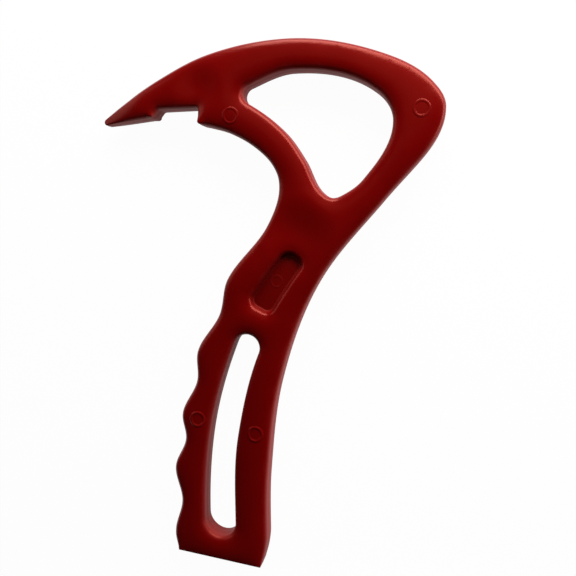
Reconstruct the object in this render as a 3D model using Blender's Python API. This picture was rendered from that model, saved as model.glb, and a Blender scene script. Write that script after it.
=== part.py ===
"""Frame grip: a one-piece moulded hook for lifting hive frames.

A flat plastic plate with a beak and a lug notch, a windowed head, a neck with a blind pocket, and a
curved handle with finger grooves and a hand slot. It lies flat: X runs from the beak to the heel,
Y from the butt to the crown, and Z from the back face up to the front face. The origin is the middle
of the outline, on the back face. Lengths are metres.
"""

from dataclasses import dataclass
from functools import cache
from math import ceil, cos, pi, radians, sin, sqrt, tan

import bmesh
import bpy
from mathutils import Vector
from mathutils.geometry import interpolate_bezier

OBJECT_NAME = "frame_grip"

# Plate
THICKNESS = 0.012
EDGE_RADIUS = 0.0025            # rounding of the front and back edges
DRAFT = radians(1.0)            # taper of the walls, from the parting line to each face

# Handle, measured along its centre line, which leaves the butt straight and then bends
HANDLE_STRAIGHT = 0.0227
HANDLE_BEND_RADIUS = 0.1656
BUTT_SLANT = radians(7.0)
BUTT_FRONT = 0.0183             # centre line to the finger-side corner of the butt
BUTT_BACK = 0.0161              # centre line to the back corner of the butt
BUTT_TAPER = 0.0112             # length over which the back edge draws in to that corner
BUTT_SHOULDER = 0.0045          # butt to the roundest place of that draw-in
SHOULDER_BACK = 0.0180          # centre line to the back edge there
GRIP_BACK = 0.0188              # centre line to the back edge along the grip
NECK_BACK = 0.0114              # centre line to the back edge at the neck
WAIST_BACK = 0.0159             # centre line to the back edge half-way between them
GRIP_TOP = 0.0373               # butt to where the back edge starts to draw in
WAIST_STATION = 0.0790          # butt to the half-way point
NECK_STATION = 0.1237           # butt to the neck
BUTT_CREST = 0.0200             # centre line to the finger crests, from the butt to the neck
RING_CREST = 0.0198
MIDDLE_CREST = 0.0193
INDEX_CREST = 0.0193
NECK_CREST = 0.0194
FINGER_DEPTH = 0.0031
GROOVE_LAG = 0.0009             # each groove lies this far above the middle of its span
FIRST_CREST = 0.0093            # butt to the lowest crest
LITTLE_FINGER_SPAN = 0.0258     # crest to crest
RING_FINGER_SPAN = 0.0204
MIDDLE_FINGER_SPAN = 0.0238
INDEX_FINGER_SPAN = 0.0280
NECK_LENGTH = 0.0413            # top crest to the root of the head

# Head, measured from its root, where the centre line of the handle ends
HEAD_HEIGHT = 0.0648            # root up to the crown
HEEL_REACH = 0.0400             # root out to the heel
BEAK_REACH = 0.0930             # root out to the beak tip
BEAK_HEIGHT = 0.0372            # root up to the beak tip
BEAK_RISE = radians(3.6)        # slope of the beak's lower edge
TIP_RADIUS = 0.0011
TIP_STRETCH = 0.0023            # the tip's two edges would meet this far past its reach
TIP_THICKNESS = 0.0068
TIP_TAPER = 0.0110              # length over which the beak thins to its tip
TIP_ROUNDING = 0.25             # share of the edge radius that is left at the tip

# Lug notch behind the beak
NOTCH_SETBACK = 0.0225          # beak tip to the mouth of the notch
NOTCH_DEPTH = 0.0029            # height of its leaning wall, on the beak side
NOTCH_WIDTH = 0.0158            # along its top
NOTCH_LEAN = radians(42.0)
NOTCH_LIP = 0.0060              # height of its upright wall, on the throat side
NOTCH_FILLET = 0.0013
NOTCH_ROUNDING = 0.5            # share of the edge radius that is left round the notch

# Window in the head: widths of the limbs around it, and its two tight corners
CROWN_LIMB = 0.0114
BROW_LIMB = 0.0132
HEEL_LIMB = 0.0186
BACK_LIMB = 0.0109
THROAT_LIMB = 0.0117
BEND_LIMB = 0.0117
NOSE_LIMB = 0.0144
NOSE_SHIFT = 0.0011             # top of the throat out to the nose, towards the heel
WINDOW_TOP_SHIFT = 0.0031       # crown back to the highest point of the window
WINDOW_SIDE_DROP = 0.0040       # heel down to the widest point of the window
NOSE_RADIUS = 0.0035
NOSE_UPPER_SLOPE = radians(21.0)
NOSE_LOWER_SLOPE = radians(31.0)
FOOT_RISE = 0.0065              # root of the head up to the foot of the window
FOOT_RADIUS = 0.0056

# Hand slot
SLOT_START = 0.0092             # butt to its lower end
SLOT_LENGTH = 0.0833
SLOT_BUTT_WIDTH = 0.0125
SLOT_NECK_WIDTH = 0.0102
SLOT_BUTT_SHIFT = -0.0007       # its middle lies this far to the finger side
SLOT_NECK_SHIFT = -0.0012

# Blind pocket in the neck
POCKET_SETBACK = 0.0322         # root of the head back to its middle
POCKET_SHIFT = -0.0024          # its middle lies this far to the finger side
POCKET_LENGTH = 0.0283          # over its round lip
POCKET_WIDTH = 0.0126
POCKET_CORNER = 0.0048
POCKET_DEPTH = 0.0040
POCKET_DRAFT = radians(12.0)
POCKET_MOUTH_RADIUS = 0.0021
POCKET_FLOOR_RADIUS = 0.0014
CUT_OVERSHOOT = 0.001           # the hollow reaches this far out past the front face

# Ejector-pin marks: low raised beads on the front face and on the pocket floor
PIN_MARK_RADIUS = 0.0027
POCKET_PIN_MARK_RADIUS = 0.0020
PIN_BEAD_WIDTH = 0.0011
PIN_BEAD_HEIGHT = 0.0003
HANDLE_PIN_STATION = 0.0552     # butt to the pair beside the slot
HANDLE_PIN_OFFSET = 0.0120
HEEL_PIN_INSET = 0.0085         # heel in to its mark
HEEL_PIN_DROP = 0.0006
NOSE_PIN_GAP = 0.0043           # window nose out to the beak's mark
NOSE_PIN_DROP = 0.0078
POCKET_PIN_SHIFT = 0.0006       # middle of the pocket out to its mark, to the back

# Smoothness of the facets
FACET_ERROR = 0.00004
EDGE_STEPS = 3
CORNER_STEPS = 4
BEAD_SEGMENTS = 20
BEAD_SIDES = 8
HANDLE_PULL = 0.39              # curve handle as a share of the chord, exact for a quarter circle

MOULDED_RED = (0.12, 0.0035, 0.0035, 1.0)
ROUGHNESS = 0.42

FINGER_SPANS = (LITTLE_FINGER_SPAN, RING_FINGER_SPAN, MIDDLE_FINGER_SPAN, INDEX_FINGER_SPAN)
FINGER_CRESTS = (BUTT_CREST, RING_CREST, MIDDLE_CREST, INDEX_CREST, NECK_CREST)
HANDLE_LENGTH = FIRST_CREST + sum(FINGER_SPANS) + NECK_LENGTH


@dataclass
class Knot:
    """One point of an outline, with the way the curve leaves it.

    heading is the direction of travel (None takes it from the neighbours), corner stops the curve
    dead, rounding is the share of the edge radius here, and slide fixes the way the edge is inset.
    """

    point: Vector
    heading: Vector | None = None
    corner: bool = False
    rounding: float = 1.0
    slide: Vector | None = None


@dataclass
class Station:
    """One sampled point of an outline: its place, the way into the material, and its edge radius."""

    point: Vector
    inward: Vector
    radius: float


def clear_scene():
    """Remove whatever the scene holds."""
    for item in list(bpy.data.objects):
        bpy.data.objects.remove(item, do_unlink=True)


def new_collection(name):
    """Add a collection to the scene."""
    collection = bpy.data.collections.new(name)
    bpy.context.scene.collection.children.link(collection)
    return collection


def new_object(name, bm, collection):
    """Turn a bmesh into a named object."""
    mesh = bpy.data.meshes.new(name)
    bm.to_mesh(mesh)
    bm.free()
    item = bpy.data.objects.new(name, mesh)
    collection.objects.link(item)
    return item


def moulded_plastic():
    """The red plastic of the moulding."""
    material = bpy.data.materials.new("moulded_red_plastic")
    material.use_nodes = True
    shader = material.node_tree.nodes["Principled BSDF"]
    shader.inputs["Base Color"].default_value = MOULDED_RED
    shader.inputs["Roughness"].default_value = ROUGHNESS
    shader.inputs["Metallic"].default_value = 0.0
    return material


def left_of(direction):
    """The direction a quarter turn to the left."""
    return Vector((-direction.y, direction.x))


def centre_line(distance):
    """Point and heading of the handle's centre line at a distance from the butt."""
    turn = max(0.0, distance - HANDLE_STRAIGHT) / HANDLE_BEND_RADIUS
    straight = min(distance, HANDLE_STRAIGHT)
    bend = Vector((1.0 - cos(turn), sin(turn))) * HANDLE_BEND_RADIUS
    return Vector((0.0, straight)) + bend, Vector((sin(turn), cos(turn)))


def handle_point(distance, offset):
    """Point beside the centre line: offset is positive towards the back edge."""
    point, heading = centre_line(distance)
    return point - left_of(heading) * offset


def head_root():
    """Point where the head starts."""
    return centre_line(HANDLE_LENGTH)[0]


def crown_point(across, up):
    """Point of the head's outer edge, as shares of its reach and its height."""
    reach = HEEL_REACH if across > 0.0 else BEAK_REACH
    return head_root() + Vector((across * reach, up * HEAD_HEIGHT))


def throat_point(across, up):
    """Point of the throat, as shares of the beak's reach and height."""
    return head_root() + Vector((across * BEAK_REACH, up * BEAK_HEIGHT))


def along_handle(distance, offset, up):
    """Smooth knot whose curve runs along the centre line, up or down the handle."""
    heading = centre_line(distance)[1]
    return Knot(handle_point(distance, offset), heading if up else -heading)


def across_handle(distance, offset, to_front):
    """Smooth knot whose curve runs square across the centre line, to the finger side or the back."""
    across = left_of(centre_line(distance)[1])
    return Knot(handle_point(distance, offset), across if to_front else -across)


def rounded_corner(before, corner, after, radius, rounding):
    """Knots of a circular corner between two straight edges."""
    way_in = (corner - before).normalized()
    way_out = (after - corner).normalized()
    half_turn = way_in.angle(way_out) / 2.0
    reach = radius * tan(half_turn)
    middle = (way_out - way_in).normalized() * radius * (1.0 / cos(half_turn) - 1.0)
    return [
        Knot(corner - way_in * reach, way_in, rounding=rounding),
        Knot(corner + middle, (way_in + way_out).normalized(), rounding=rounding),
        Knot(corner + way_out * reach, way_out, rounding=rounding),
    ]


def butt_corner(offset):
    """Point of the slanted butt at an offset from the centre line."""
    return handle_point(-offset * tan(BUTT_SLANT), offset)


def butt_knots():
    """The two sharp corners of the straight butt, whose face has no rounded edge."""
    front = butt_corner(-BUTT_FRONT)
    back = butt_corner(BUTT_BACK)
    across = (back - front).normalized()
    return Knot(front, corner=True, slide=across), Knot(back, corner=True, slide=-across)


def back_edge():
    """Back of the handle, from the butt up to the neck."""
    return [
        Knot(handle_point(BUTT_SHOULDER, SHOULDER_BACK)),
        along_handle(BUTT_TAPER, GRIP_BACK, True),
        along_handle(GRIP_TOP, GRIP_BACK, True),
        Knot(handle_point(WAIST_STATION, WAIST_BACK)),
        Knot(handle_point(NECK_STATION, NECK_BACK)),
    ]


def head_knots():
    """Named knots of the head's outer edge, from the back over the heel and crown to the beak."""
    return {
        "back": Knot(crown_point(0.468, 0.085)),
        "heel_low": Knot(crown_point(0.803, 0.314), Vector((0.65, 0.76))),
        "heel": Knot(crown_point(1.0, 0.579), Vector((0.0, 1.0))),
        "heel_high": Knot(crown_point(0.880, 0.713)),
        "brow": Knot(crown_point(0.514, 0.869)),
        "crown": Knot(crown_point(-0.198, 1.0), Vector((-1.0, 0.0))),
        "nape": Knot(crown_point(-0.517, 0.940)),
        "beak_back": Knot(crown_point(-0.735, 0.810)),
    }


def notch_edge():
    """Beak tip, lower edge of the beak and the lug notch."""
    lower_edge = Vector((1.0, tan(BEAK_RISE)))
    reach = head_root() + Vector((-BEAK_REACH, BEAK_HEIGHT))
    tip = reach - lower_edge * TIP_STRETCH
    beak_back = head_knots()["beak_back"].point
    mouth = reach + lower_edge * NOTCH_SETBACK
    top = mouth + Vector((NOTCH_DEPTH * tan(NOTCH_LEAN), NOTCH_DEPTH))
    far_top = top + Vector((NOTCH_WIDTH, 0.0))
    lip = far_top - Vector((0.0, NOTCH_LIP))
    return [
        *rounded_corner(beak_back, tip, mouth, TIP_RADIUS, TIP_ROUNDING),
        Knot(mouth, corner=True, rounding=NOTCH_ROUNDING),
        *rounded_corner(mouth, top, far_top, NOTCH_FILLET, NOTCH_ROUNDING),
        *rounded_corner(top, far_top, lip, NOTCH_FILLET, NOTCH_ROUNDING),
        Knot(lip, corner=True, rounding=NOTCH_ROUNDING),
    ]


def throat_knots():
    """Named knots of the throat, from the notch down to the neck."""
    return {
        "high": Knot(throat_point(-0.440, 0.865), Vector((0.92, -0.39))),
        "bend": Knot(throat_point(-0.279, 0.604)),
        "middle": Knot(throat_point(-0.231, 0.427)),
        "deep": Knot(throat_point(-0.222, 0.295), Vector((0.0, -1.0))),
        "low": Knot(throat_point(-0.271, -0.084)),
    }


def finger_edge():
    """Crests and grooves of the grip, from the neck down to the butt."""
    crest = FIRST_CREST
    knots = [along_handle(crest, -BUTT_CREST, False)]
    for place, span in enumerate(FINGER_SPANS):
        groove = crest + span / 2.0 + GROOVE_LAG
        crest_line = (FINGER_CRESTS[place] + FINGER_CRESTS[place + 1]) / 2.0
        crest += span
        knots.append(along_handle(groove, FINGER_DEPTH - crest_line, False))
        knots.append(along_handle(crest, -FINGER_CRESTS[place + 1], False))
    return knots[::-1]


def outer_edge():
    """The whole outline of the plate, anticlockwise."""
    front, back = butt_knots()
    return [
        back,
        *back_edge(),
        *head_knots().values(),
        *notch_edge(),
        *throat_knots().values(),
        *finger_edge(),
        front,
    ]


def inset_from(knots, name, limb):
    """Point one limb's width inside a named knot of the outline."""
    order = list(knots)
    place = order.index(name)
    heading = knots[name].heading
    if heading is None:
        before = knots[order[max(place - 1, 0)]].point
        after = knots[order[min(place + 1, len(order) - 1)]].point
        heading = (after - before).normalized()
    return knots[name].point + left_of(heading) * limb


def window_nose():
    """The narrow end of the window, towards the beak."""
    return inset_from(throat_knots(), "high", NOSE_LIMB) + Vector((NOSE_SHIFT, 0.0))


def nose_arc(nose):
    """Knots of the round nose, between the slopes of the window's lower and upper edges."""
    centre = nose + Vector((NOSE_RADIUS, 0.0))
    lower = Vector((-cos(NOSE_LOWER_SLOPE), sin(NOSE_LOWER_SLOPE)))
    upper = Vector((cos(NOSE_UPPER_SLOPE), sin(NOSE_UPPER_SLOPE)))
    return [
        Knot(centre + left_of(lower) * NOSE_RADIUS, lower),
        Knot(nose, Vector((0.0, 1.0))),
        Knot(centre + left_of(upper) * NOSE_RADIUS, upper),
    ]


def window_edge():
    """The D-shaped window, clockwise, a limb's width inside the head."""
    head = head_knots()
    throat = throat_knots()
    foot = head_root() + Vector((0.0, FOOT_RISE))
    top = inset_from(head, "crown", CROWN_LIMB) + Vector((WINDOW_TOP_SHIFT, 0.0))
    side = inset_from(head, "heel", HEEL_LIMB) - Vector((0.0, WINDOW_SIDE_DROP))
    return [
        *nose_arc(window_nose()),
        Knot(top, Vector((1.0, 0.0))),
        Knot(inset_from(head, "brow", BROW_LIMB)),
        Knot(side, Vector((0.0, -1.0))),
        Knot(inset_from(head, "back", BACK_LIMB)),
        Knot(foot + Vector((0.70, 0.24)) * FOOT_RADIUS),
        Knot(foot, Vector((-1.0, 0.0))),
        Knot(foot + Vector((-0.84, 0.47)) * FOOT_RADIUS),
        Knot(inset_from(throat, "middle", THROAT_LIMB)),
        Knot(inset_from(throat, "bend", BEND_LIMB)),
    ]


def slot_edge():
    """The hand slot along the centre line, clockwise, its lower end slanted like the butt."""
    low_half = SLOT_BUTT_WIDTH / 2.0
    high_half = SLOT_NECK_WIDTH / 2.0
    end = SLOT_START + SLOT_LENGTH
    low = SLOT_START + low_half
    high = end - high_half
    middle = (low + high) / 2.0
    half = (low_half + high_half) / 2.0
    shift = (SLOT_BUTT_SHIFT + SLOT_NECK_SHIFT) / 2.0
    slant = low_half * tan(BUTT_SLANT)
    tip = centre_line(end)[1]
    return [
        along_handle(low + slant, SLOT_BUTT_SHIFT - low_half, True),
        along_handle(middle, shift - half, True),
        along_handle(high, SLOT_NECK_SHIFT - high_half, True),
        Knot(handle_point(end, SLOT_NECK_SHIFT), -left_of(tip)),
        along_handle(high, SLOT_NECK_SHIFT + high_half, False),
        along_handle(middle, shift + half, False),
        along_handle(low - slant, SLOT_BUTT_SHIFT + low_half, False),
        Knot(handle_point(SLOT_START, SLOT_BUTT_SHIFT), Vector((-cos(BUTT_SLANT), sin(BUTT_SLANT)))),
    ]


def pocket_edge():
    """Lip of the blind pocket, anticlockwise: an oblong with round corners that follows the handle."""
    middle = HANDLE_LENGTH - POCKET_SETBACK
    low = middle - POCKET_LENGTH / 2.0
    high = middle + POCKET_LENGTH / 2.0
    back = POCKET_SHIFT + POCKET_WIDTH / 2.0
    front = POCKET_SHIFT - POCKET_WIDTH / 2.0
    return [
        along_handle(low + POCKET_CORNER, back, True),
        along_handle(high - POCKET_CORNER, back, True),
        across_handle(high, back - POCKET_CORNER, True),
        across_handle(high, front + POCKET_CORNER, True),
        along_handle(high - POCKET_CORNER, front, False),
        along_handle(low + POCKET_CORNER, front, False),
        across_handle(low, front + POCKET_CORNER, False),
        across_handle(low, back - POCKET_CORNER, False),
    ]


def leaving_heading(knots, place, step):
    """Direction of travel at a knot, on the side of the next (1) or the previous (-1) knot."""
    knot = knots[place]
    before = knots[place - 1].point
    after = knots[(place + 1) % len(knots)].point
    way_in = (knot.point - before).normalized()
    way_out = (after - knot.point).normalized()
    if knot.corner:
        return way_out if step > 0 else way_in
    if knot.heading is not None:
        return knot.heading
    return (way_in + way_out).normalized()


def sample(knots):
    """Points along an outline, close enough together to follow its curves, with their knots' data."""
    points = []
    for place, knot in enumerate(knots):
        target = (place + 1) % len(knots)
        chord = knots[target].point - knot.point
        leave = leaving_heading(knots, place, 1)
        arrive = leaving_heading(knots, target, -1)
        turn = leave.angle(chord) + chord.angle(arrive)
        steps = max(1, ceil(sqrt(chord.length * turn / (8.0 * FACET_ERROR))))
        pull = chord.length * HANDLE_PULL
        curve = interpolate_bezier(
            knot.point.to_3d(),
            (knot.point + leave * pull).to_3d(),
            (knots[target].point - arrive * pull).to_3d(),
            knots[target].point.to_3d(),
            steps + 1,
        )
        for step in range(steps):
            share = step / steps
            rounding = knot.rounding * (1.0 - share) + knots[target].rounding * share
            slide = knot.slide if step == 0 else None
            points.append((curve[step].to_2d(), rounding * EDGE_RADIUS, slide))
    return points


def stations(knots):
    """Sampled outline with the way into the material, mitred at corners, at every point."""
    points = sample(knots)
    result = []
    for place, (point, radius, slide) in enumerate(points):
        way_in = (point - points[place - 1][0]).normalized()
        way_out = (points[(place + 1) % len(points)][0] - point).normalized()
        first = left_of(way_in)
        second = left_of(way_out)
        inward = slide or (first + second) / (1.0 + first.dot(second))
        result.append(Station(point, inward, radius))
    return result


def edge_levels():
    """Rings of the plate's wall, from the back face to the front: side and angle of the rounding."""
    angles = [pi / 2.0 * step / EDGE_STEPS for step in range(EDGE_STEPS + 1)]
    back = [(-1.0, angle) for angle in reversed(angles)]
    front = [(1.0, angle) for angle in angles]
    return back + [(0.0, 0.0)] + front


@cache
def outline_span():
    """Lowest and highest corner of the box around the plate's outline."""
    points = [station.point for station in stations(outer_edge())]
    across = [point.x for point in points]
    up = [point.y for point in points]
    return Vector((min(across), min(up))), Vector((max(across), max(up)))


def thinning(point):
    """Share of the thickness that is left at a point of the plate: all of it except near the beak tip."""
    tip = outline_span()[0].x
    share = min(max((point.x - tip) / TIP_TAPER, 0.0), 1.0)
    least = TIP_THICKNESS / THICKNESS
    return least + (1.0 - least) * sqrt(share * (2.0 - share))


def ring_point(station, level, middle):
    """Point of one ring of the plate's wall."""
    side, angle = level
    wall = THICKNESS / 2.0 - station.radius
    inset = abs(side) * (wall * tan(DRAFT) + station.radius * (1.0 - cos(angle)))
    spot = station.point + station.inward * inset
    height = side * (wall + station.radius * sin(angle)) * thinning(spot)
    return (spot - middle).to_3d() + Vector((0.0, 0.0, THICKNESS / 2.0 + height))


def raise_rings(bm, rings):
    """Extrude a closed loop of edges through a list of rings of points and return both end loops."""
    layer = bm.verts.layers.int.get("place") or bm.verts.layers.int.new("place")
    verts = [bm.verts.new(point) for point in rings[0]]
    for place, vert in enumerate(verts):
        vert[layer] = place
    first = [bm.edges.new((verts[place - 1], vert)) for place, vert in enumerate(verts)]
    last = first
    for ring in rings[1:]:
        grown = bmesh.ops.extrude_edge_only(bm, edges=last)["geom"]
        fresh = {item for item in grown if isinstance(item, bmesh.types.BMVert)}
        edges = [item for item in grown if isinstance(item, bmesh.types.BMEdge)]
        last = [edge for edge in edges if fresh.issuperset(edge.verts)]
        for vert in fresh:
            vert.co = ring[vert[layer]]
    return first, last


def close_solid(bm):
    """Point every face of a closed solid outwards."""
    bmesh.ops.recalc_face_normals(bm, faces=bm.faces)


def build_plate(collection, middle):
    """The plate: outline, window and slot raised together, with one face on each side."""
    bm = bmesh.new()
    backs = []
    fronts = []
    for knots in (outer_edge(), window_edge(), slot_edge()):
        loop = stations(knots)
        rings = [[ring_point(station, level, middle) for station in loop] for level in edge_levels()]
        back, front = raise_rings(bm, rings)
        backs += back
        fronts += front
    bmesh.ops.triangle_fill(bm, edges=backs, use_beauty=True)
    bmesh.ops.triangle_fill(bm, edges=fronts, use_beauty=True)
    close_solid(bm)
    return new_object("grip_moulding", bm, collection)


def pocket_profile():
    """Inset and height of the rings of the pocket's hollow, from its floor up past its mouth."""
    floor = THICKNESS - POCKET_DEPTH
    rise = pi / 2.0 - POCKET_DRAFT
    profile = []
    for step in range(CORNER_STEPS + 1):
        angle = rise * step / CORNER_STEPS
        profile.append((-POCKET_FLOOR_RADIUS * sin(angle), floor + POCKET_FLOOR_RADIUS * (1.0 - cos(angle))))
    wall_foot = profile[-1]
    mouth_low = THICKNESS - POCKET_MOUTH_RADIUS * (1.0 - sin(POCKET_DRAFT))
    wall_top = (wall_foot[0] - (mouth_low - wall_foot[1]) * tan(POCKET_DRAFT), mouth_low)
    for step in range(CORNER_STEPS):
        angle = rise * step / CORNER_STEPS
        out = POCKET_MOUTH_RADIUS * (cos(POCKET_DRAFT) - cos(POCKET_DRAFT + angle))
        up = POCKET_MOUTH_RADIUS * (sin(POCKET_DRAFT + angle) - sin(POCKET_DRAFT))
        profile.append((wall_top[0] - out, wall_top[1] + up))
    slope = (profile[-1][0] - profile[-2][0]) / (profile[-1][1] - profile[-2][1])
    top = THICKNESS + CUT_OVERSHOOT
    profile.append((profile[-1][0] + slope * (top - profile[-1][1]), top))
    mouth = profile[-2][0]
    return [(inset - mouth, height) for inset, height in profile]


def pocket_cutter(collection, middle):
    """The hollow of the pocket as a solid that reaches out through the front face."""
    loop = stations(pocket_edge())
    rings = []
    for inset, height in pocket_profile():
        ring = []
        for station in loop:
            flat = station.point + station.inward * inset - middle
            ring.append(Vector((flat.x, flat.y, height)))
        rings.append(ring)
    bm = bmesh.new()
    for edges in raise_rings(bm, rings):
        bmesh.ops.triangle_fill(bm, edges=edges, use_beauty=True)
    close_solid(bm)
    return new_object("pocket_cutter", bm, collection)


def pin_marks():
    """Place, height and radius of every ejector-pin mark."""
    heel = head_knots()["heel"].point - Vector((HEEL_PIN_INSET, HEEL_PIN_DROP))
    nose = window_nose() - Vector((NOSE_PIN_GAP, NOSE_PIN_DROP))
    pocket = handle_point(HANDLE_LENGTH - POCKET_SETBACK, POCKET_SHIFT + POCKET_PIN_SHIFT)
    return [
        (handle_point(HANDLE_PIN_STATION, HANDLE_PIN_OFFSET), THICKNESS, PIN_MARK_RADIUS),
        (handle_point(HANDLE_PIN_STATION, -HANDLE_PIN_OFFSET), THICKNESS, PIN_MARK_RADIUS),
        (heel, THICKNESS, PIN_MARK_RADIUS),
        (nose, THICKNESS, PIN_MARK_RADIUS),
        (pocket, THICKNESS - POCKET_DEPTH, POCKET_PIN_MARK_RADIUS),
    ]


def pin_mark_bead(name, mark, collection, middle):
    """One pin mark: a ring sunk into its surface until only a low bead stands out."""
    point, surface, radius = mark
    half = PIN_BEAD_WIDTH / 2.0
    bead = (half * half + PIN_BEAD_HEIGHT * PIN_BEAD_HEIGHT) / (2.0 * PIN_BEAD_HEIGHT)
    flat = point - middle
    bpy.ops.mesh.primitive_torus_add(
        location=(flat.x, flat.y, surface + PIN_BEAD_HEIGHT - bead),
        major_radius=radius,
        minor_radius=bead,
        major_segments=BEAD_SEGMENTS,
        minor_segments=BEAD_SIDES,
    )
    item = bpy.context.object
    item.name = name
    for owner in list(item.users_collection):
        owner.objects.unlink(item)
    collection.objects.link(item)
    return item


def combine(target, operation, tool):
    """Cut a tool out of the target, or join it on, and leave the tool as a guide."""
    tool.hide_render = True
    tool.display_type = "WIRE"
    modifier = target.modifiers.new(tool.name, "BOOLEAN")
    modifier.operation = operation
    modifier.solver = "EXACT"
    modifier.object = tool


def outline_middle():
    """Middle of the plate's outline, which becomes the origin."""
    low, high = outline_span()
    return (low + high) / 2.0


def main():
    """Build the frame grip."""
    clear_scene()
    parts = new_collection(OBJECT_NAME)
    cutters = new_collection("cutters")
    middle = outline_middle()
    plate = build_plate(parts, middle)
    plate.data.materials.append(moulded_plastic())
    combine(plate, "DIFFERENCE", pocket_cutter(cutters, middle))
    for place, mark in enumerate(pin_marks(), 1):
        combine(plate, "UNION", pin_mark_bead(f"pin_mark_{place}", mark, cutters, middle))


main()
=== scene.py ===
"""Looks of the frame grip: one red moulding, its plastic, and the stage that it is seen on.

Lengths are metres and angles are degrees. The plan of the tool is drawn in the handle's own frame, with
the butt at the origin and the handle leaving it along +Y, and the moulding carries it over to the frame
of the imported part, whose origin is the middle of the outline on the back face.
"""

import logging
from collections.abc import Iterable
from dataclasses import dataclass, field, replace
from enum import Enum
from math import atan2, ceil, cos, pi, radians, sin, sqrt, tan

import bmesh
import bpy
import numpy as np
from bmesh.types import BMEdge, BMesh, BMVert
from bpy.types import ID, Material, Node, NodeSocket, NodeTree, Object
from mathutils import Matrix, Vector
from mathutils.bvhtree import BVHTree
from mathutils.geometry import delaunay_2d_cdt, interpolate_bezier

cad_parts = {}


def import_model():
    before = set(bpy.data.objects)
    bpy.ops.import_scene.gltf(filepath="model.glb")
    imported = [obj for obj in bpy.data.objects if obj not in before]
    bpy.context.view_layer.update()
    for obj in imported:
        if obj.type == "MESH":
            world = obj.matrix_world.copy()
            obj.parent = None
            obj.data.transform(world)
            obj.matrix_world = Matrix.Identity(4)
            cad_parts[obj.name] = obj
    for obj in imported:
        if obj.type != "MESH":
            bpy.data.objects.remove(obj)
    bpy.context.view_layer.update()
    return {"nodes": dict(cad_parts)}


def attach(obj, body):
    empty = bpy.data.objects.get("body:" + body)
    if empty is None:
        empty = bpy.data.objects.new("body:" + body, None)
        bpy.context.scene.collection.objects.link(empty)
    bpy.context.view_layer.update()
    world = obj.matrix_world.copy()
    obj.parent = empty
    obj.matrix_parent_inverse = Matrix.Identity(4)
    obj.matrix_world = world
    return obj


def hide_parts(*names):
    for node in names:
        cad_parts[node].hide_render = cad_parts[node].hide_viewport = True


LOG = logging.getLogger("frame_grip")
CAD_NODE = "grip_moulding"
MATERIAL_SLOT = "moulded_red_plastic"
WEAR = "edge_wear"
# Mask of the painted sheen on the side walls, which stands in for the light and white floor that they
# reflect.
WALL_SHEEN = "painted_wall_sheen"
MATT = "matt_skin"
ORDER = "order"
RIGHT = Vector((1.0, 0.0))
UP = Vector((0.0, 1.0))
DOWN = Vector((0.0, 0.0, -1.0))
TRIANGLE_RISE = sqrt(0.75)
INSIDE_ONLY = 1

Pair = tuple[float, float]
Triple = tuple[float, float, float]
Colour = tuple[float, float, float, float]
Loop = list[BMEdge]
Filling = NodeSocket | float | tuple[float, ...]
Sockets = dict[str | int, Filling]

WHITE: Colour = (1.0, 1.0, 1.0, 1.0)


class Travel(Enum):
    """Which way an edge runs along the handle."""

    TO_HEAD = 1.0
    TO_BUTT = -1.0


class Face(Enum):
    """The two flat faces of the plate, as the side of the parting line that they lie on."""

    BACK = -1.0
    FRONT = 1.0


@dataclass(frozen=True)
class Knot:
    """One point of an outline.

    Attributes:
        point: Place in the plan.
        heading: Direction of travel, or None to take it from the neighbours.
        corner: Whether the curve stops dead here.
        rounding: Share of the edge's rounding that is left here.
        slide: Way in which the edge is inset, where that isn't square to the outline.
    """

    point: Vector
    heading: Vector | None = None
    corner: bool = False
    rounding: float = 1.0
    slide: Vector | None = None


@dataclass(frozen=True)
class Station:
    """One sampled point of an outline: its place, the way into the material, and its share of rounding."""

    point: Vector
    inward: Vector
    rounding: float

    def at(self, inset: float) -> Vector:
        """Return the point that lies so far into the material."""
        return self.point + self.inward * inset


@dataclass(frozen=True)
class SectionRow:
    """One row of a section: how far in, how far up, and its shares of wear, side wall and matt skin; the
    side wall share masks the painted sheen on the walls.
    """

    inset: float
    height: float
    wear: float = 0.0
    wall: float = 0.0
    matt: float = 0.0

    @property
    def skin(self) -> dict[str, float]:
        """The row's shares by the names of the mesh's attributes."""
        return {WEAR: self.wear, WALL_SHEEN: self.wall, MATT: self.matt}


@dataclass(frozen=True)
class Ring:
    """One closed ring of points on the moulding, with the value of each of the skin's attributes there."""

    points: list[Vector]
    skin: dict[str, float]


def left_of(direction: Vector) -> Vector:
    """Return the direction a quarter turn to the left."""
    return Vector((-direction.y, direction.x))


def raised(spot: Vector, height: float) -> Vector:
    """Return the point at a height over a spot of the plan."""
    return Vector((spot.x, spot.y, height))


def rounded_corner(before: Vector, corner: Vector, after: Vector, radius: float) -> list[Knot]:
    """Round the corner between two straight edges.

    Args:
        before: Point on the edge that comes in.
        corner: The sharp corner.
        after: Point on the edge that goes out.
        radius: Radius of the arc.

    Returns:
        The knots of the arc.
    """
    way_in = (corner - before).normalized()
    way_out = (after - corner).normalized()
    half_turn = way_in.angle(way_out) / 2.0
    reach = radius * tan(half_turn)
    middle = (way_out - way_in).normalized() * radius * (1.0 / cos(half_turn) - 1.0)
    return [
        Knot(corner - way_in * reach, way_in),
        Knot(corner + middle, (way_in + way_out).normalized()),
        Knot(corner + way_out * reach, way_out),
    ]


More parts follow.
